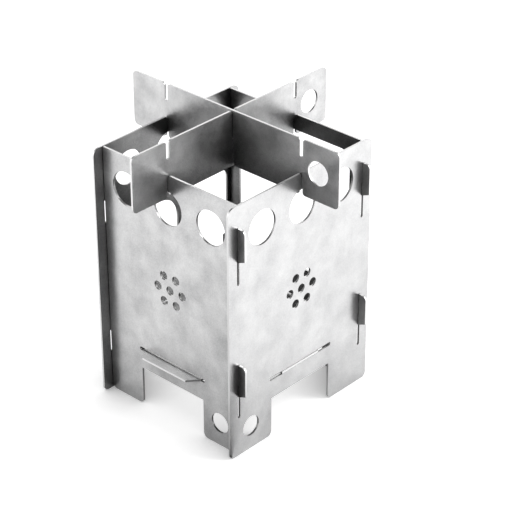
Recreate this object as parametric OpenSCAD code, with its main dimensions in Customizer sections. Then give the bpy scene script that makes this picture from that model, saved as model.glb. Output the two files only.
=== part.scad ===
// Flat-pack pocket stove of stainless sheet: four plug-together walls on leg feet,
// a burn floor with tabs through the walls, and two crossing pot bars.
// X runs along the front wall, Y from the front wall to the back wall, Z is up.
// The origin is on the ground, under the middle of the fire chamber.

/* [Walls] */
// Height of the four walls (mm)
wall_height = 125; // [122:1:150]
// Distance between the middle planes of two facing walls (mm)
wall_spacing = 80; // [77:1:100]
// How far the front and back walls reach past the side walls (mm)
wall_overhang = 5.8; // [5:0.2:9]
// Thickness of every sheet (mm)
sheet = 1; // [0.8:0.1:1.4]
// Radius of the upper corners of the front and back walls (mm)
top_corner_r = 3.5; // [1:0.5:5]
// Radius of the corners of the feet (mm)
foot_corner_r = 2.6; // [1:0.2:5]
// Width of the gap between the two feet of a wall (mm)
leg_gap = 38.4; // [30:0.4:44]
// Height of the feet (mm)
leg_height = 19.6; // [17.6:0.2:21.6]

/* [Air holes] */
// Diameter of the air holes along the top of three of the walls (mm)
air_hole_d = 16.6; // [12:0.2:18]
// Distance from one air hole to the next (mm)
air_hole_pitch = 25.2; // [22:0.2:27]
// Distance of the air holes from the top edge (mm)
air_hole_drop = 16; // [14:0.5:18]
// Air holes in each of these walls
air_hole_count = 3; // [1:2:3]

/* [Small vents] */
// Diameter of the small vents of the front and left walls (mm)
vent_d = 4.4; // [3:0.2:5]
// Distance between neighbouring small vents (mm)
vent_pitch = 7.4; // [6.5:0.2:9]
// Height of the middle of the vent group (mm)
vent_height = 68; // [60:1:76]

/* [Feed windows] */
// Height of the lower edge of the right wall's window and of the arched back window (mm)
window_sill = 47; // [44:1:50]
// Height of the lower edge of the square-headed back window (mm)
square_window_sill = 44.4; // [42:0.2:50]
// Distance of the upper edge of the back windows from the top edge (mm)
window_head_drop = 41; // [39:1:45]
// Distance of the upper edge of the right wall's tall window from the top edge (mm)
side_window_drop = 7.6; // [6:0.2:12]
// Half the width of the window in the right wall (mm)
side_window_half = 33.3; // [26:0.5:34]
// Corner radius of the window in the right wall (mm)
side_window_r = 5; // [1:0.5:6]
// Radius of the other corners of the back windows (mm)
back_window_r = 3; // [1:0.5:4]
// Left edge of the arched back window, left of the middle (mm)
arched_window_left = 20; // [18:0.5:30]
// Right edge of the arched back window, right of the middle (mm)
arched_window_right = 4.6; // [2:0.2:6]
// Radius of the upper corners of the arched back window (mm)
arched_window_r = 11; // [6:0.5:11]
// Width of the mullion between the two windows of the back wall (mm)
mullion_w = 7.6; // [6:0.2:10]
// Right edge of the square-headed back window, right of the middle (mm)
square_window_right = 37.4; // [34:0.2:37.6]

/* [Hooks and slots] */
// Distance of the top of the upper hooks from the top edge (mm)
upper_hook_drop = 10.5; // [8:0.5:15]
// Height of the top of the lower hooks (mm)
lower_hook_top = 47.2; // [46:0.2:50]
// Height of a hook (mm)
hook_height = 16.3; // [14:0.1:18]
// How far a hook stands out past the wall it holds (mm)
hook_reach = 4.2; // [3:0.1:5.5]
// Rise of a hook's underside from root to nose (mm)
hook_rise = 1.7; // [0:0.1:3]
// Radius of the upper outer corner of a hook (mm)
hook_corner_r = 2.2; // [1:0.1:2.8]
// Play of a side wall's sheet in the slots of the front and back walls (mm)
hook_slot_play = 0.4; // [0.3:0.1:0.8]
// Open length of the slot under a hook (mm)
slot_tail = 11.2; // [10:0.2:12]
// Width of the slots in the pot bars and of the notches in the walls (mm)
slot_w = 1.8; // [1.6:0.1:2.4]

/* [Burn floor] */
// Height of the underside of the floor plate (mm)
floor_underside = 29; // [27.6:0.2:30.4]
// Length of the floor slot in each wall (mm)
floor_slot_length = 40.6; // [38:0.2:44]
// Height of the floor slot in each wall (mm)
floor_slot_height = 1.8; // [1.6:0.1:2.2]
// How far the side tabs of the floor stand out past the walls (mm)
side_tab_reach = 5.3; // [3:0.1:7]
// Width of the side tabs at the wall (mm)
side_tab_width = 36; // [32:0.5:37]
// Length of the slanted corners of the side tabs (mm)
side_tab_bevel = 4.6; // [3:0.1:6]
// Width of the tabs that end flush in the front and back walls (mm)
flush_tab_width = 24; // [18:0.5:30]
// Diameter of the air holes of the floor (mm)
grate_hole_d = 6; // [4:0.2:7]
// Distance between neighbouring holes of the floor (mm)
grate_pitch = 11; // [9:0.5:12]
// Holes along each side of the floor's pattern
grate_count = 5; // [3:2:5]

/* [Pot bars] */
// Length of the pot bars (mm)
bar_length = 122; // [114:1:130]
// Height of the pot bars (mm)
bar_height = 26.6; // [24:0.2:30]
// Radius of the corners of the pot bars (mm)
bar_corner_r = 2.4; // [1:0.2:4]
// Depth of the slots in the edges of the bars (mm)
bar_slot_depth = 8.6; // [7:0.2:10]
// Depth of the notch in each wall's top edge (mm)
bar_notch_depth = 2.2; // [1.6:0.1:3]
// Radius of the rounded mouth of the slots in the bars (mm)
slot_mouth_r = 1.4; // [0.6:0.1:2]

/* [Rings and cord holes] */
// Diameter of the hanging hole in one foot of each wall (mm)
foot_hole_d = 10; // [6:0.2:10.6]
// Height of the hanging holes (mm)
foot_hole_height = 11.8; // [10:0.2:12.4]
// Diameter of the hanging hole at one end of each bar (mm)
bar_hole_d = 11.2; // [6:0.2:12]
// Place of that hole between the wall and the end of the bar, as a share of the stretch
bar_hole_share = 0.45; // [0.4:0.01:0.5]

/* [Hidden] */
$fn = 64;
// Free gap between a plugged sheet and its neighbour
fit = 0.3;
// Play of the slot's top over the neck of a hook
neck_play = 0.3;
// Length of a slot beyond the height of the hook that goes through it
slot_play = 1.2;
// Gap that keeps two seated edges apart
seat_gap = 0.04;
// Extra depth of the crossing slots, so that both bars rest on the walls
cross_play = 0.3;
// Corner radius of the floor slots as a share of their height
slot_corner_share = 0.45;
// Overrun of every cut
over = 1;
// Overlap of joined outlines
lap = 0.5;
// Gap between the floor and the walls' inner faces
floor_gap = 0.5;
// Radius of the floor's corners
floor_corner_r = 2;
// How far the flush tabs stay inside the outer face
flush_gap = 0.1;

half_sheet = sheet / 2;
half_span = wall_spacing / 2;
inner_half = half_span - half_sheet;
outer_half = half_span + half_sheet;
slot_wall_half = half_span + wall_overhang;
hook_wall_half = inner_half - fit;
slot_length = hook_height + slot_play;
foot_slot_x = slot_wall_half / 2 + leg_gap / 4;
foot_hook_x = hook_wall_half / 2 + leg_gap / 4;
air_hole_z = wall_height - air_hole_drop;
window_head = wall_height - window_head_drop;
floor_half = inner_half - floor_gap;
// A sheet's edge meets the round end of a slot before the slot's tip
tip_rise = slot_w / 2 - sqrt(slot_w * slot_w / 4 - half_sheet * half_sheet);
notch_floor_z = wall_height - bar_notch_depth;
bar_z0 = notch_floor_z + tip_rise + seat_gap - bar_slot_depth;
cross_depth = bar_height / 2 + cross_play;
bar_hole_x = half_span + (bar_length / 2 - half_span) * bar_hole_share;
hook_tops = [wall_height - upper_hook_drop, lower_hook_top];
sheet_colour = [0.80, 0.80, 0.80];
bright_colour = [0.90, 0.90, 0.90];
bar_colour = [0.34, 0.34, 0.35];

// Outline helpers, all drawn in the plane of a sheet

// A rectangle with a radius for each corner, from the lower left one round to the upper left one
module cornered_rect(x0, y0, x1, y1, r) {
  polygon([
    [x0 + r[0], y0],
    [x1 - r[1], y0],
    [x1, y0 + r[1]],
    [x1, y1 - r[2]],
    [x1 - r[2], y1],
    [x0 + r[3], y1],
    [x0, y1 - r[3]],
    [x0, y0 + r[0]]
  ]);
  centres = [
    [x0 + r[0], y0 + r[0]],
    [x1 - r[1], y0 + r[1]],
    [x1 - r[2], y1 - r[2]],
    [x0 + r[3], y1 - r[3]]
  ];
  for (i = [0 : 3])
    translate(centres[i])
      circle(r = r[i]);
}

module round_rect(x0, y0, x1, y1, r) {
  cornered_rect(x0, y0, x1, y1, [r, r, r, r]);
}

// A slot that hangs down from the origin, with a round end
module slot_down(w, depth) {
  translate([-w / 2, w / 2 - depth])
    square([w, depth - w / 2 + over]);
  translate([0, w / 2 - depth])
    circle(d = w);
}

// The rounded mouth of a slot, cut from the edge that passes through the origin
module slot_mouth(w, r) {
  difference() {
    translate([-w / 2 - r, -r])
      square([w + 2 * r, r + over]);
    for (side = [-1, 1])
      translate([side * (w / 2 + r), -r])
        circle(r = r);
  }
}

// A slot with two round ends, standing on its lower end
module standing_slot(w, length) {
  translate([-w / 2, w / 2])
    square([w, length - w]);
  for (y = [w / 2, length - w / 2])
    translate([0, y])
      circle(d = w);
}

// The sheet of a wall before its holes: two feet with rounded corners and the panel over them
module wall_blank(half, corner_r) {
  gap_half = leg_gap / 2;
  for (x = [-half, gap_half])
    round_rect(x, 0, x + half - gap_half, leg_height + foot_corner_r + lap, foot_corner_r);
  translate([-half, leg_height])
    square([2 * half, foot_corner_r + 2 * lap]);
  cornered_rect(-half, leg_height, half, wall_height, [fit, fit, corner_r, corner_r]);
}

// The row of air holes along the top
module air_holes() {
  span = (air_hole_count - 1) * air_hole_pitch;
  for (i = [0 : air_hole_count - 1])
    translate([i * air_hole_pitch - span / 2, air_hole_z])
      circle(d = air_hole_d);
}

// The openings that all four walls share
module shared_cuts(foot_hole_x) {
  translate([0, wall_height]) {
    translate([-slot_w / 2, -bar_notch_depth])
      square([slot_w, bar_notch_depth + over]);
    slot_mouth(slot_w, bar_notch_depth / 2);
  }
  translate([0, floor_underside - seat_gap])
    round_rect(-floor_slot_length / 2, 0, floor_slot_length / 2, floor_slot_height,
               floor_slot_height * slot_corner_share);
  translate([foot_hole_x, foot_hole_height])
    circle(d = foot_hole_d);
}

// The group of seven small vents
module vent_group() {
  translate([0, vent_height]) {
    circle(d = vent_d);
    for (a = [0 : 60 : 300])
      rotate(a)
        translate([vent_pitch, 0])
          circle(d = vent_d);
  }
}

// The four standing slots of a front or back wall
module hook_slots() {
  for (side = [-1, 1], top = hook_tops)
    translate([side * half_span, top - hook_height - slot_tail])
      standing_slot(sheet + hook_slot_play, slot_length);
}

// A hook at the positive edge: neck through the slot, then the part that points up
module hook(top) {
  low = top - hook_height;
  neck_top = low - slot_tail + slot_length - neck_play;
  s_in = outer_half + fit;
  s_out = outer_half + hook_reach;
  polygon([
    [hook_wall_half - lap, low],
    [outer_half, low],
    [s_out, low + hook_rise],
    [s_out, top - hook_corner_r],
    [s_out - hook_corner_r, top],
    [s_in, top],
    [s_in, neck_top],
    [hook_wall_half - lap, neck_top]
  ]);
  translate([s_out - hook_corner_r, top - hook_corner_r])
    intersection() {
      circle(r = hook_corner_r);
      square(hook_corner_r);
    }
}

// Flat outlines of the walls

module slot_wall_outline(foot_side) {
  difference() {
    wall_blank(slot_wall_half, top_corner_r);
    shared_cuts(foot_side * foot_slot_x);
    air_holes();
    hook_slots();
  }
}

module hook_wall_outline(foot_side) {
  difference() {
    wall_blank(hook_wall_half, fit);
    shared_cuts(foot_side * foot_hook_x);
  }
  for (side = [0, 1], top = hook_tops)
    mirror([side, 0])
      hook(top);
}

// Puts an outline upright along X, with the middle of its sheet at the given Y
module stand_along_x(y) {
  translate([0, y + half_sheet, 0])
    rotate([90, 0, 0])
      linear_extrude(height = sheet)
        children();
}

// Puts an outline upright along Y, with the middle of its sheet at the given X
module stand_along_y(x) {
  translate([x - half_sheet, 0, 0])
    rotate([90, 0, 90])
      linear_extrude(height = sheet)
        children();
}

// The two feed windows of the back wall, as seen from the front
module back_windows() {
  r = back_window_r;
  cornered_rect(-arched_window_left, window_sill, arched_window_right, window_head,
                [r, r, arched_window_r, arched_window_r]);
  round_rect(arched_window_right + mullion_w, square_window_sill, square_window_right,
             window_head, r);
}

// Sub-parts

module front_wall() {
  color(bright_colour)
    stand_along_x(-half_span)
      difference() {
        slot_wall_outline(-1);
        vent_group();
      }
}

module back_wall() {
  color(sheet_colour)
    stand_along_x(half_span)
      difference() {
        slot_wall_outline(1);
        back_windows();
      }
}

module left_wall() {
  color(sheet_colour)
    stand_along_y(-half_span)
      difference() {
        hook_wall_outline(-1);
        air_holes();
        vent_group();
      }
}

module right_wall() {
  color(sheet_colour)
    stand_along_y(half_span)
      difference() {
        hook_wall_outline(1);
        round_rect(-side_window_half, window_sill, side_window_half,
                   wall_height - side_window_drop, side_window_r);
      }
}

// Floor plate with long tabs to the left and right and flush tabs to the front and back
module burn_floor() {
  side_tip = outer_half + side_tab_reach;
  half_root = side_tab_width / 2;
  flush_tip = outer_half - flush_gap;
  span = (grate_count - 1) * grate_pitch;
  color(sheet_colour)
    translate([0, 0, floor_underside])
      linear_extrude(height = sheet)
        difference() {
          union() {
            round_rect(-floor_half, -floor_half, floor_half, floor_half, floor_corner_r);
            polygon([
              [-side_tip, side_tab_bevel - half_root],
              [-outer_half, -half_root],
              [outer_half, -half_root],
              [side_tip, side_tab_bevel - half_root],
              [side_tip, half_root - side_tab_bevel],
              [outer_half, half_root],
              [-outer_half, half_root],
              [-side_tip, half_root - side_tab_bevel]
            ]);
            translate([-flush_tab_width / 2, -flush_tip])
              square([flush_tab_width, 2 * flush_tip]);
          }
          for (i = [0 : grate_count - 1], j = [0 : grate_count - 1])
            translate([i * grate_pitch - span / 2, j * grate_pitch - span / 2])
              circle(d = grate_hole_d);
        }
}

// A bar's outline: slots over both walls, above and below, and one hanging hole
module bar_outline(hole_side) {
  difference() {
    round_rect(-bar_length / 2, bar_z0, bar_length / 2, bar_z0 + bar_height, bar_corner_r);
    for (side = [-1, 1]) {
      translate([side * half_span, bar_z0 + bar_height]) {
        slot_down(slot_w, bar_slot_depth);
        slot_mouth(slot_w, slot_mouth_r);
      }
      translate([side * half_span, bar_z0])
        mirror([0, 1]) {
          slot_down(slot_w, bar_slot_depth);
          slot_mouth(slot_w, slot_mouth_r);
        }
    }
    translate([hole_side * bar_hole_x, bar_z0 + bar_height / 2])
      circle(d = bar_hole_d);
  }
}

module side_to_side_pot_bar() {
  color(bar_colour)
    stand_along_x(0)
      difference() {
        bar_outline(1);
        translate([0, bar_z0 + bar_height]) {
          slot_down(slot_w, cross_depth);
          slot_mouth(slot_w, slot_mouth_r);
        }
      }
}

module front_to_back_pot_bar() {
  color(bar_colour)
    stand_along_y(0)
      difference() {
        bar_outline(-1);
        translate([0, bar_z0])
          mirror([0, 1]) {
            slot_down(slot_w, cross_depth);
            slot_mouth(slot_w, slot_mouth_r);
          }
      }
}

front_wall();
back_wall();
left_wall();
right_wall();
burn_floor();
side_to_side_pot_bar();
front_to_back_pot_bar();
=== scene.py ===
# %% [markdown]
# # A flat-pack pocket stove of stainless sheet
#
# Seven flat pieces make this stove: four walls that hook into each other, a burn floor whose
# tabs pass through the walls, and two bars that cross on top and carry the pot. Their shapes
# come from the CAD model. This file gives them edges, steel, a studio and a camera.
#
# The steel is the hard part. A polished ball can be made in a minute. Thin flat sheet that has
# been tumbled is bright where it faces a white table and nearly black in every inner corner, and
# both come from what it mirrors, not from paint. So most of this lesson is about the finish and
# about what stands round the stove, and very little about geometry.

import math

import bpy
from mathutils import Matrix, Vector

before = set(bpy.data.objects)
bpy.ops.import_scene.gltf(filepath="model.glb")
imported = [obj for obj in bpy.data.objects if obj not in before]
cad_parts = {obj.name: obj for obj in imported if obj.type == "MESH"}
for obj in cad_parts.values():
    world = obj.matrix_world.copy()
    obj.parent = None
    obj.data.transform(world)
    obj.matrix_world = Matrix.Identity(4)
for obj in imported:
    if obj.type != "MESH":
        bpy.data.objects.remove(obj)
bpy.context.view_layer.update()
mm = 0.001
print("pieces:", sorted(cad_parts))

# %% [markdown]
# ## The camera
#
# The photograph was taken from the front left, about thirty degrees above the table, with a long
# lens: the edges of the walls stay almost parallel. A lens of 134 mm on a 36 mm sensor at 0.9 m
# gives that.
#
# A camera can be aimed with a constraint, with three angles, or by a direction. The direction is
# used here, because a camera that looks along a plain vector with its top up can't roll.

# %% Camera
camera_place = Vector((-0.5481, -0.5213, 0.5089))
camera_azimuth = math.radians(-47.41)
camera_elevation = math.radians(30.415)
looking_along = Vector((
    -math.sin(camera_azimuth) * math.cos(camera_elevation),
    math.cos(camera_azimuth) * math.cos(camera_elevation),
    -math.sin(camera_elevation),
))
lens_length, sensor_width = 133.88, 36
nearest_seen, furthest_seen = 0.01, 20
camera_data = bpy.data.cameras.new("camera")
camera_data.lens = lens_length
camera_data.sensor_width = sensor_width
camera_data.clip_start = nearest_seen
camera_data.clip_end = furthest_seen
camera = bpy.data.objects.new("camera", camera_data)
bpy.context.scene.collection.objects.link(camera)
camera.location = camera_place
camera.rotation_mode = "QUATERNION"
camera.rotation_quaternion = looking_along.to_track_quat("-Z", "Y")
bpy.context.scene.camera = camera
bpy.context.scene.view_settings.view_transform = "Standard"
print("camera looks along", [round(v, 3) for v in looking_along])
print("distance to the stove's foot in m:", round(camera_place.length, 2))

# %% [markdown]
# ## Small helpers
#
# Colours are written as the hex values that a screen shows. Blender mixes light in linear
# numbers, so one function turns the first into the second. Without it a mid grey would come out
# twice too bright.
#
# A material is a tree of nodes with settings and links. One function adds a node with both, and
# the materials below read like recipes. A third one clears the nodes that Blender starts with.

# %% Helpers for colour and nodes
def linear(hex_colour):
    # The sRGB curve: a short straight start, and above it a power
    parts = [int(hex_colour[i:i + 2], 16) / 255 for i in (1, 3, 5)]
    out = [p / 12.92 if p <= 0.04045 else ((p + 0.055) / 1.055) ** 2.4 for p in parts]
    return (*out, 1.0)


def add_node(tree, kind, settings=None, links=None):
    node = tree.nodes.new(kind)
    for key, value in (settings or {}).items():
        if isinstance(key, str) and hasattr(node, key):
            setattr(node, key, value)
        else:
            node.inputs[key].default_value = value
    for key, source in (links or {}).items():
        tree.links.new(source, node.inputs[key])
    return node


def empty_tree(owner):
    owner.use_nodes = True
    owner.node_tree.nodes.clear()
    return owner.node_tree


white = (1, 1, 1, 1)
print("mid grey #808080 is", round(linear("#808080")[0], 3), "in linear light")

# %% [markdown]
# ## Cold-rolled stainless steel, tumbled
#
# The sheet is 304 stainless with a cold-rolled mill finish. After the laser has cut it, the parts
# roll in a drum with ceramic stones. That dulls the mirror, leaves a fine cloudy grain with no
# direction, and rubs the cut edges round.
#
# Three noises of very different size carry this, and each has its own work. Clouds, about a
# centimetre wide, change tone and dullness from place to place. Grain is the mark of the stones.
# Waves are the slight bow that all thin sheet has, and they bend what it mirrors. One noise with
# many octaves could do all three, but then their strengths couldn't be set apart.

# %% Three noises
cloud_size = 13 * mm
# Real grain of this finish is about 0.05 mm, too fine for this picture, so it is drawn coarser
grain_size = 0.65 * mm
# The bow of thin sheet runs over some centimetres
wave_size = 45 * mm


def finish_noises(tree):
    where = add_node(tree, "ShaderNodeTexCoord").outputs["Object"]
    clouds = add_node(tree, "ShaderNodeTexNoise",
                      {"Scale": 1 / cloud_size, "Detail": 4.0, "Roughness": 0.6},
                      {"Vector": where}).outputs["Fac"]
    grain = add_node(tree, "ShaderNodeTexNoise",
                     {"Scale": 1 / grain_size, "Detail": 5.0, "Roughness": 0.8},
                     {"Vector": where}).outputs["Fac"]
    waves = add_node(tree, "ShaderNodeTexNoise",
                     {"Scale": 1 / wave_size, "Detail": 1.0},
                     {"Vector": where}).outputs["Fac"]
    return clouds, grain, waves


# %% [markdown]
# ## The tone of a face
#
# A metal has no colour of its own apart from its mirror. Its base colour says how much of each
# mirrored ray comes back. For clean stainless steel that is a neutral grey of 50 to 70 per cent,
# and it is less where the stones have left the face dull. The clouds and the grain together choose
# between a darker and a paler grey.

# %% Face tone
grain_weight = 0.8
# The sum of clouds and weighted grain where the face is at its darkest and at its palest
tone_from, tone_to = 0.6, 1.2


def face_tone(tree, clouds, grain, face_dark, face_pale):
    both = add_node(tree, "ShaderNodeMath", {"operation": "MULTIPLY_ADD", 1: grain_weight},
                    {0: grain, 2: clouds}).outputs[0]
    tone = add_node(tree, "ShaderNodeMapRange",
                    {"From Min": tone_from, "From Max": tone_to, "To Min": 0.0, "To Max": 1.0},
                    {"Value": both}).outputs[0]
    return add_node(tree, "ShaderNodeMix",
                    {"data_type": "RGBA", 6: linear(face_dark), 7: linear(face_pale)},
                    {0: tone}).outputs[2]


print("a noise of 0.5 gives a tone of",
      round((0.5 + grain_weight * 0.5 - tone_from) / (tone_to - tone_from), 2), "from 0 to 1")

# %% [markdown]
# ## Rim and face
#
# The rim of a sheet was melted by the laser and then rubbed most, so it is paler and duller than
# its two faces. A second material on the rim would need its faces picked out one by one. The
# direction of the surface tells them apart by itself: on a face the normal lies along the sheet's
# axis, and on a rim it lies across it.

# %% Rim share
rim_colour = "#dcdcdc"
rim_roughness = 0.4
# How well the normal lines up with the sheet's axis on a face, and where the rim begins
face_line_up, rim_line_up = 0.95, 0.6


def rim_share(tree, axis):
    normal = add_node(tree, "ShaderNodeNewGeometry").outputs["True Normal"]
    facing = add_node(tree, "ShaderNodeVectorMath",
                      {"operation": "DOT_PRODUCT", 1: axis}, {0: normal}).outputs["Value"]
    flat = add_node(tree, "ShaderNodeMath", {"operation": "ABSOLUTE"}, {0: facing}).outputs[0]
    return add_node(tree, "ShaderNodeMapRange",
                    {"From Min": face_line_up, "From Max": rim_line_up,
                     "To Min": 0.0, "To Max": 1.0}, {"Value": flat}).outputs[0]


print("the rim begins where the surface has turned by",
      round(math.degrees(math.acos(face_line_up))), "degrees and is all rim at",
      round(math.degrees(math.acos(rim_line_up))))

# %% [markdown]
# ## Light that gets lost between sheets, as painted shade
#
# Tumbled steel sends most light back near the mirror direction, and some of it far from there, as a
# faint veil. The veil fades where a sheet sees little open room: behind the bars, in the slots, near
# the table. A single glossy lobe has no veil that knows of its surroundings, so the base colour
# takes that part over. An ambient occlusion node looks for open room, and the colour falls with it.
# That darkening of the colour is painted shade, behind the bars, in the slots and corners, and near
# the table.

# %% Open room
open_room = 100 * mm
# In how many directions each point looks for room
looks = 8
# Share of open room at which a sheet has its full painted corner shade
fully_shaded_at = 0.2


# Painted shade: the colour darkens where the sheet sees little open room, in corners, slots, behind
# the bars and near the table
def painted_corner_shade(tree, corner_shade_tone, unshaded_at):
    room = add_node(tree, "ShaderNodeAmbientOcclusion",
                    {"samples": looks, "Distance": open_room}).outputs["AO"]
    return add_node(tree, "ShaderNodeMapRange",
                    {"From Min": fully_shaded_at, "From Max": unshaded_at,
                     "To Min": corner_shade_tone, "To Max": 1.0}, {"Value": room}).outputs[0]


print("the steel looks", open_room / mm, "mm far for open room")

# %% [markdown]
# ## The finished steel
#
# Now the parts come together in one Principled shader: tone times the painted shade of open room as
# base colour, dullness from clouds and grain, and two bumps. The clouds make broad fields a little
# smoother or duller. The grain moves the roughness from point to point. A lower limit keeps it from
# going smooth in spots, which would show as black specks wherever the steel mirrors something dark.
# The rims have a dullness of their own, since the stones reach them from two sides.
#
# The grain's bump is very shallow, because a deep one would turn flat sheet into hammered sheet.
# The waves' bump has a tenth of a millimetre over some centimetres, which is what the reflections
# of real sheet show.

# %% Steel
# How much smoother and duller than its mean roughness the sheet gets, between these cloud values
smoother, duller = 0.03, 0.05
clouds_from, clouds_to = 0.3, 0.7
# No point of a tumbled face is smoother than this
smoothest = 0.29
grain_strength, grain_depth = 0.25, 0.03 * mm
wave_strength, wave_depth = 1.0, 0.12 * mm


def tumbled_steel_with_painted_shade(name, axis, face_dark, face_pale, corner_shade_tone, unshaded_at, roughness, speckle):
    steel = bpy.data.materials.new(name)
    tree = empty_tree(steel)
    clouds, grain, waves = finish_noises(tree)
    face = face_tone(tree, clouds, grain, face_dark, face_pale)
    rim = rim_share(tree, axis)
    colour = add_node(tree, "ShaderNodeMix", {"data_type": "RGBA", 7: linear(rim_colour)},
                      {0: rim, 6: face}).outputs[2]
    # Painted shade: the face colour is multiplied by the shade from open room
    colour = add_node(tree, "ShaderNodeMix",
                      {"data_type": "RGBA", "blend_type": "MULTIPLY", 0: 1.0},
                      {6: colour, 7: painted_corner_shade(tree, corner_shade_tone, unshaded_at)}).outputs[2]
    # The grain adds half of its speckle on average, so that half is taken off first
    base = roughness - speckle / 2
    dull = add_node(tree, "ShaderNodeMapRange",
                    {"From Min": clouds_from, "From Max": clouds_to,
                     "To Min": base - smoother, "To Max": base + duller},
                    {"Value": clouds}).outputs[0]
    dull = add_node(tree, "ShaderNodeMath", {"operation": "MULTIPLY_ADD", 1: speckle},
                    {0: grain, 2: dull}).outputs[0]
    dull = add_node(tree, "ShaderNodeMath", {"operation": "MAXIMUM", 1: smoothest},
                    {0: dull}).outputs[0]
    rough = add_node(tree, "ShaderNodeMix", {"data_type": "FLOAT", 3: rim_roughness},
                     {0: rim, 2: dull}).outputs[0]
    grain_bump = add_node(tree, "ShaderNodeBump",
                          {"Strength": grain_strength, "Distance": grain_depth},
                          {"Height": grain}).outputs[0]
    bump = add_node(tree, "ShaderNodeBump",
                    {"Strength": wave_strength, "Distance": wave_depth},
                    {"Height": waves, "Normal": grain_bump}).outputs[0]
    shader = add_node(tree, "ShaderNodeBsdfPrincipled", {"Metallic": 1.0},
                      {"Base Color": colour, "Roughness": rough, "Normal": bump})
    add_node(tree, "ShaderNodeOutputMaterial", {}, {"Surface": shader.outputs[0]})
    return steel


print("waves of at most", round(wave_depth / mm, 2), "mm, one every", wave_size / mm, "mm")

# %% [markdown]
# ## One steel for each sheet
#
# All seven pieces come from the same kind of sheet, and yet each gets its own row. The axis differs,
# because it says which way the faces look. The greys differ a little, as sheets from two coils do.
# The corner shade tone is what is left of them in the tightest corner, where shade is painted into
# the colour. The bars are duller, since they are the smallest parts and roll about most in the drum.
#
# The burn floor shows little but its tabs, which lie flat and catch the most light, and its greys
# are painted the palest to stand for that light, a painted highlight. In the slots round them its
# tone falls to nearly nothing as painted shade, and it is whole again where 45 per cent of the room
# is open.

# %% Dress the pieces
across_x = (1.0, 0.0, 0.0)
across_y = (0.0, 1.0, 0.0)
across_z = (0.0, 0.0, 1.0)
# Piece: axis, darkest and palest face, painted corner shade tone, open room where the painted shade
# ends, roughness, how far the grain moves the roughness
steels = {
    "front_wall": (across_y, "#b0b0b1", "#d4d4d4", 0.5, 0.7, 0.30, 0.3),
    "back_wall": (across_y, "#a6a6a7", "#dcdcdc", 0.2, 0.7, 0.30, 0.3),
    "left_wall": (across_x, "#a4a4a5", "#d8d8d8", 0.3, 0.7, 0.30, 0.3),
    "right_wall": (across_x, "#a6a6a7", "#dcdcdc", 0.2, 0.7, 0.30, 0.3),
    # Painted highlight: the burn floor's greys are paler to stand for the light on its flat tabs
    "burn_floor": (across_z, "#e4e4e4", "#f4f4f4", 0.05, 0.45, 0.30, 0.3),
    "side_to_side_pot_bar": (across_y, "#a0a0a1", "#dcdcdc", 0.1, 0.7, 0.40, 1.2),
    "front_to_back_pot_bar": (across_x, "#a0a0a1", "#dcdcdc", 0.1, 0.7, 0.40, 1.2),
}
for node_name, recipe in steels.items():
    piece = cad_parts[node_name]
    steel = tumbled_steel_with_painted_shade("tumbled_stainless_painted_shade_" + node_name, *recipe)
    if piece.material_slots:
        for place in piece.material_slots:
            place.material = steel
    else:
        piece.data.materials.append(steel)
print("steel on", len(steels), "pieces:", ", ".join(steels))

# %% [markdown]
# ## Rubbed edges
#
# A laser leaves a square edge, and tumbling takes a tenth or two of a millimetre off it. In the
# picture that is less than a pixel wide, but it is what makes the rims of the holes glint.
#
# A bevel in the material would only pretend, and the outline would stay sharp. So the mesh gets a
# real one. The imported mesh has its corners split, so its points are welded first, and the
# bevel then works on sharp corners only, as the stones do.

# %% Edges
rubbed_off = 0.16 * mm
welded_within = 0.001 * mm
# The walls of a round hole are flat strips that meet at a few degrees and must stay whole
sharp_from = math.radians(50)
rounding_steps = 2


def rub_edges(piece):
    weld = piece.modifiers.new("weld", "WELD")
    weld.merge_threshold = welded_within
    bevel = piece.modifiers.new("rubbed_edges", "BEVEL")
    bevel.width = rubbed_off
    bevel.segments = rounding_steps
    bevel.limit_method = "ANGLE"
    bevel.angle_limit = sharp_from
    bevel.use_clamp_overlap = True
    bevel.harden_normals = False


for node_name in steels:
    rub_edges(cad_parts[node_name])
print("edges rubbed by", rubbed_off / mm, "mm")

# %% [markdown]
# ## The table
#
# The photograph shows the stove on plain white, and matt white paper gives that. The paper is
# white by its own colour, and not by a strong lamp, which would bleach the pale walls first. Rays
# that look at it, from the camera or by way of the steel, see some light of its own added, so it
# reads as pure white.
#
# That glow alone would wipe out the soft shade round the feet. So it fades near the stove, with a
# short reach for the camera and a longer one for mirrored rays, and that fading is a painted shadow
# round the feet and under the stove. From below the paper is clear, so that a view from underneath
# sees the stove.

# %% Helpers for the studio
def flat_piece(name, points, material):
    mesh = bpy.data.meshes.new(name)
    mesh.from_pydata(points, [], [tuple(range(len(points)))])
    mesh.materials.append(material)
    piece = bpy.data.objects.new(name, mesh)
    bpy.context.scene.collection.objects.link(piece)
    return piece


def seen_rays(tree):
    ray = add_node(tree, "ShaderNodeLightPath")
    first = add_node(tree, "ShaderNodeMath", {"operation": "MAXIMUM"},
                     {0: ray.outputs["Is Camera Ray"], 1: ray.outputs["Is Glossy Ray"]})
    return add_node(tree, "ShaderNodeMath", {"operation": "MAXIMUM"},
                    {0: first.outputs[0], 1: ray.outputs["Is Transmission Ray"]}).outputs[0]


# Painted shadow: the glow fades by ambient occlusion near the stove
def glow_with_painted_shadow(tree, strength, distance):
    around = add_node(tree, "ShaderNodeAmbientOcclusion",
                      {"samples": looks, "Distance": distance}).outputs["AO"]
    return add_node(tree, "ShaderNodeMath", {"operation": "MULTIPLY", 1: strength},
                    {0: around}).outputs[0]


print("staged pieces are left out of the exported model")

# %% [markdown]
# The two glows below are the whole trick. The first is what the steel sees, and the second is
# what the camera sees. Everything else about the paper is a plain matt surface.

# %% Table
paper_colour = "#f2f2f2"
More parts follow.
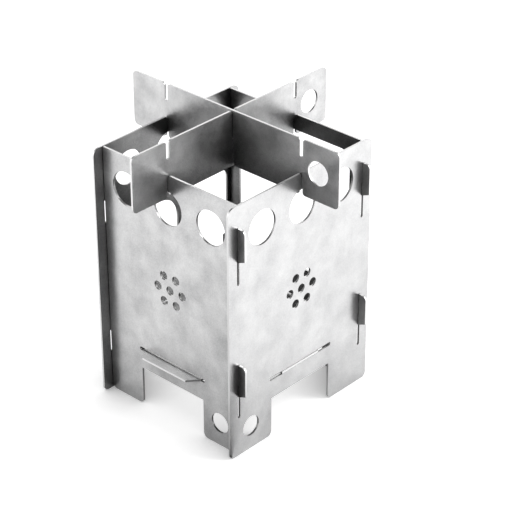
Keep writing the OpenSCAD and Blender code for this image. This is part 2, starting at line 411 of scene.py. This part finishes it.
# Strength of each glow, and how far from the stove it is full again
mirrored_glow, mirrored_reach = 1.0, 130 * mm
camera_glow, camera_reach = 0.85, 30 * mm
half_table = 3.0
paper = bpy.data.materials.new("matt_white_paper")
tree = empty_tree(paper)
matt = add_node(tree, "ShaderNodeBsdfDiffuse", {"Color": linear(paper_colour)}).outputs[0]
# Both glows fade near the stove: a painted shadow on the table
mirrored = glow_with_painted_shadow(tree, mirrored_glow, mirrored_reach)
near_feet = glow_with_painted_shadow(tree, camera_glow, camera_reach)
chosen = add_node(tree, "ShaderNodeMix", {"data_type": "FLOAT"},
                  {0: add_node(tree, "ShaderNodeLightPath").outputs["Is Camera Ray"],
                   2: mirrored, 3: near_feet}).outputs[0]
glow_strength = add_node(tree, "ShaderNodeMath", {"operation": "MULTIPLY"},
                         {0: chosen, 1: seen_rays(tree)}).outputs[0]
glow = add_node(tree, "ShaderNodeEmission", {"Color": white},
                {"Strength": glow_strength}).outputs[0]
both = add_node(tree, "ShaderNodeAddShader", {}, {0: matt, 1: glow}).outputs[0]
under = add_node(tree, "ShaderNodeNewGeometry").outputs["Backfacing"]
clear = add_node(tree, "ShaderNodeBsdfTransparent").outputs[0]
sided = add_node(tree, "ShaderNodeMixShader", {}, {0: under, 1: both, 2: clear}).outputs[0]
add_node(tree, "ShaderNodeOutputMaterial", {}, {"Surface": sided})
flat_piece("table", [(-half_table, -half_table, 0), (half_table, -half_table, 0),
                     (half_table, half_table, 0), (-half_table, half_table, 0)], paper)
print("table:", 2 * half_table, "m wide")

# %% [markdown]
# ## Grey card on the camera's side
#
# Two walls that meet in a corner throw the view straight back to where it came from. Without
# something dark there, every hook and every inner corner would look as white as the faces. A
# photographer lays a dark grey card on the table at the camera's side and stands another behind
# it. Black card would take all light from the hooks, and they still show their grain.
#
# The card is widest far away and fades out towards its sides, so that its mirror image has no
# hard edge. It is seen only by mirrored rays: it casts no shadow and the camera doesn't see it.

# %% Camera-side card
card_colour = "#707070"
card_turn = math.radians(227.5)
card_near = 60 * mm
card_far = 900 * mm
card_height = 900 * mm
card_lift = 1 * mm
# Half of the width that stays whole, and the angles between which the card fades to both sides
card_core = 30 * mm
card_inner = math.radians(8)
card_outer = math.radians(24)
grey_card = bpy.data.materials.new("dark_grey_card_paper")
tree = empty_tree(grey_card)
spot = add_node(tree, "ShaderNodeSeparateXYZ", {},
                {0: add_node(tree, "ShaderNodeTexCoord").outputs["Object"]})
aside = add_node(tree, "ShaderNodeMath", {"operation": "ABSOLUTE"},
                 {0: spot.outputs["Y"]}).outputs[0]
outside = add_node(tree, "ShaderNodeMath", {"operation": "SUBTRACT", 1: card_core},
                   {0: aside}).outputs[0]
slant = add_node(tree, "ShaderNodeMath", {"operation": "DIVIDE"},
                 {0: outside, 1: spot.outputs["X"]}).outputs[0]
thick = add_node(tree, "ShaderNodeMapRange",
                 {"interpolation_type": "SMOOTHSTEP",
                  "From Min": math.tan(card_inner), "From Max": math.tan(card_outer),
                  "To Min": 1.0, "To Max": 0.0}, {"Value": slant}).outputs[0]
dark = add_node(tree, "ShaderNodeBsdfDiffuse", {"Color": linear(card_colour)}).outputs[0]
none = add_node(tree, "ShaderNodeBsdfTransparent").outputs[0]
faded = add_node(tree, "ShaderNodeMixShader", {}, {0: thick, 1: none, 2: dark}).outputs[0]
add_node(tree, "ShaderNodeOutputMaterial", {}, {"Surface": faded})


def hide_card(card, turn):
    card.rotation_euler[2] = turn
    card.visible_camera = False
    card.visible_diffuse = False
    card.visible_shadow = False


near_half = card_core + card_near * math.tan(card_outer)
far_half = card_core + card_far * math.tan(card_outer)
lying = flat_piece("lying_card", [(card_near, -near_half, card_lift),
                                  (card_far, -far_half, card_lift),
                                  (card_far, far_half, card_lift),
                                  (card_near, near_half, card_lift)], grey_card)
standing = flat_piece("standing_card",
                      [(card_far, -far_half, 0), (card_far, -far_half, card_height),
                       (card_far, far_half, card_height), (card_far, far_half, 0)], grey_card)
for card in (lying, standing):
    hide_card(card, card_turn)
print("grey card: from", card_near / mm, "to", card_far / mm, "mm,",
      round(2 * far_half / mm), "mm wide at its far end")

# %% [markdown]
# ## Two painted shadows close to the stove
#
# Rays that enter the firebox leave it again through the far windows and holes, and land on the table
# behind the stove, where its shadow lies. That is why the inner faces are dark in the photograph
# while the far ends of the bars, whose rays land further out to both sides, are bright. A dark sheet
# that starts under the stove and lies behind it, about twice as wide as the stove looks from the
# camera, gives both: it is a painted shadow of the stove, seen only in the steel. A second one at
# the left is painted shade on the table and only takes a little light from the near end of the left
# wall.
#
# Both are rectangles with soft borders. A product of two ramps, one along and one across, gives
# such a border without a picture.

# %% Painted shadows on the table
painted_shadow_colour = "#1c1c1c"
soft_turn = math.radians(47.4)
soft_lift = 2 * mm


# A dark sheet seen only in the steel: a painted shadow on the table
def painted_shadow_card(name, near, far, right, left, density, fade):
    black = bpy.data.materials.new(name + "_painted_shade")
    tree = empty_tree(black)
    spot = add_node(tree, "ShaderNodeSeparateXYZ", {},
                    {0: add_node(tree, "ShaderNodeTexCoord").outputs["Object"]})
    ramps = []
    for axis, low, high, full in (("X", near, far, density), ("Y", right, left, 1.0)):
        offset = add_node(tree, "ShaderNodeMath", {"operation": "SUBTRACT", 1: (low + high) / 2},
                          {0: spot.outputs[axis]}).outputs[0]
        away = add_node(tree, "ShaderNodeMath", {"operation": "ABSOLUTE"}, {0: offset}).outputs[0]
        ramps.append(add_node(tree, "ShaderNodeMapRange",
                              {"interpolation_type": "SMOOTHSTEP",
                               "From Min": (high - low) / 2 - fade, "From Max": (high - low) / 2,
                               "To Min": full, "To Max": 0.0}, {"Value": away}).outputs[0])
    cover = add_node(tree, "ShaderNodeMath", {"operation": "MULTIPLY"},
                     {0: ramps[0], 1: ramps[1]}).outputs[0]
    dark = add_node(tree, "ShaderNodeBsdfDiffuse", {"Color": linear(painted_shadow_colour)}).outputs[0]
    none = add_node(tree, "ShaderNodeBsdfTransparent").outputs[0]
    faded = add_node(tree, "ShaderNodeMixShader", {}, {0: cover, 1: none, 2: dark}).outputs[0]
    add_node(tree, "ShaderNodeOutputMaterial", {}, {"Surface": faded})
    card = flat_piece(name, [(near, right, soft_lift), (far, right, soft_lift),
                             (far, left, soft_lift), (near, left, soft_lift)], black)
    hide_card(card, soft_turn)
    print(name, "is", round((far - near) / mm), "by", round((left - right) / mm), "mm")


# Name, near and far edge, right and left edge, how dense it is, width of its soft border
# Painted shadow under and behind the stove, and painted shade at its left
painted_shadow_card("rear_painted_shadow", 9 * mm, 270 * mm, -160 * mm, 160 * mm, 0.97, 18 * mm)
painted_shadow_card("left_painted_shade", -150 * mm, -50 * mm, 55 * mm, 230 * mm, 0.5, 12 * mm)

# %% [markdown]
# ## The air and the lamp
#
# The room round the table is a pale wall up to half height and a dim ceiling above. Top edges and
# tabs face the wall by way of the mirror and light up, and the steep double reflections inside
# the box find the ceiling and stay dark. All other rays see an even, weak grey, which lights the
# table.
#
# One soft box at the front right gives the paper its direction of light. It is weak, because steel
# is drawn by what it mirrors and only a little by lamps.

# %% Air
# Strength of the air for the light on the table, and of wall and ceiling for rays that are seen
even_air = 0.35
wall_light, ceiling_light = 1.8, 0.12
# Rise of a ray where the wall ends and where the ceiling begins
wall_ends, ceiling_begins = 0.53, 0.66
world = bpy.data.worlds.new("studio")
bpy.context.scene.world = world
tree = empty_tree(world)
toward = add_node(tree, "ShaderNodeTexCoord").outputs["Generated"]
rise = add_node(tree, "ShaderNodeSeparateXYZ", {}, {0: toward}).outputs["Z"]
sky = add_node(tree, "ShaderNodeMapRange",
               {"interpolation_type": "SMOOTHSTEP", "From Min": wall_ends,
                "From Max": ceiling_begins, "To Min": wall_light, "To Max": ceiling_light},
               {"Value": rise}).outputs[0]
strength = add_node(tree, "ShaderNodeMix", {"data_type": "FLOAT", 2: even_air},
                    {0: seen_rays(tree), 3: sky}).outputs[0]
air = add_node(tree, "ShaderNodeBackground", {"Color": white}, {"Strength": strength})
add_node(tree, "ShaderNodeOutputWorld", {}, {"Surface": air.outputs[0]})
print("the wall ends", round(math.degrees(math.asin(wall_ends))), "degrees above the table")

# %% [markdown]
# The lamp looks at the foot of the stove, so that the paper round it is lit the most evenly.

# %% Soft box
lamp_place = Vector((0.45, -0.55, 0.7))
lamp_side, lamp_watts = 0.35, 4
lamp_data = bpy.data.lights.new("key_soft_box", "AREA")
lamp_data.shape = "SQUARE"
lamp_data.size = lamp_side
lamp_data.energy = lamp_watts
lamp = bpy.data.objects.new("key_soft_box", lamp_data)
bpy.context.scene.collection.objects.link(lamp)
lamp.location = lamp_place
lamp.rotation_mode = "QUATERNION"
lamp.rotation_quaternion = (-lamp_place).to_track_quat("-Z", "Y")
print("soft box of", lamp_side, "m at", round(lamp_place.length, 2), "m")
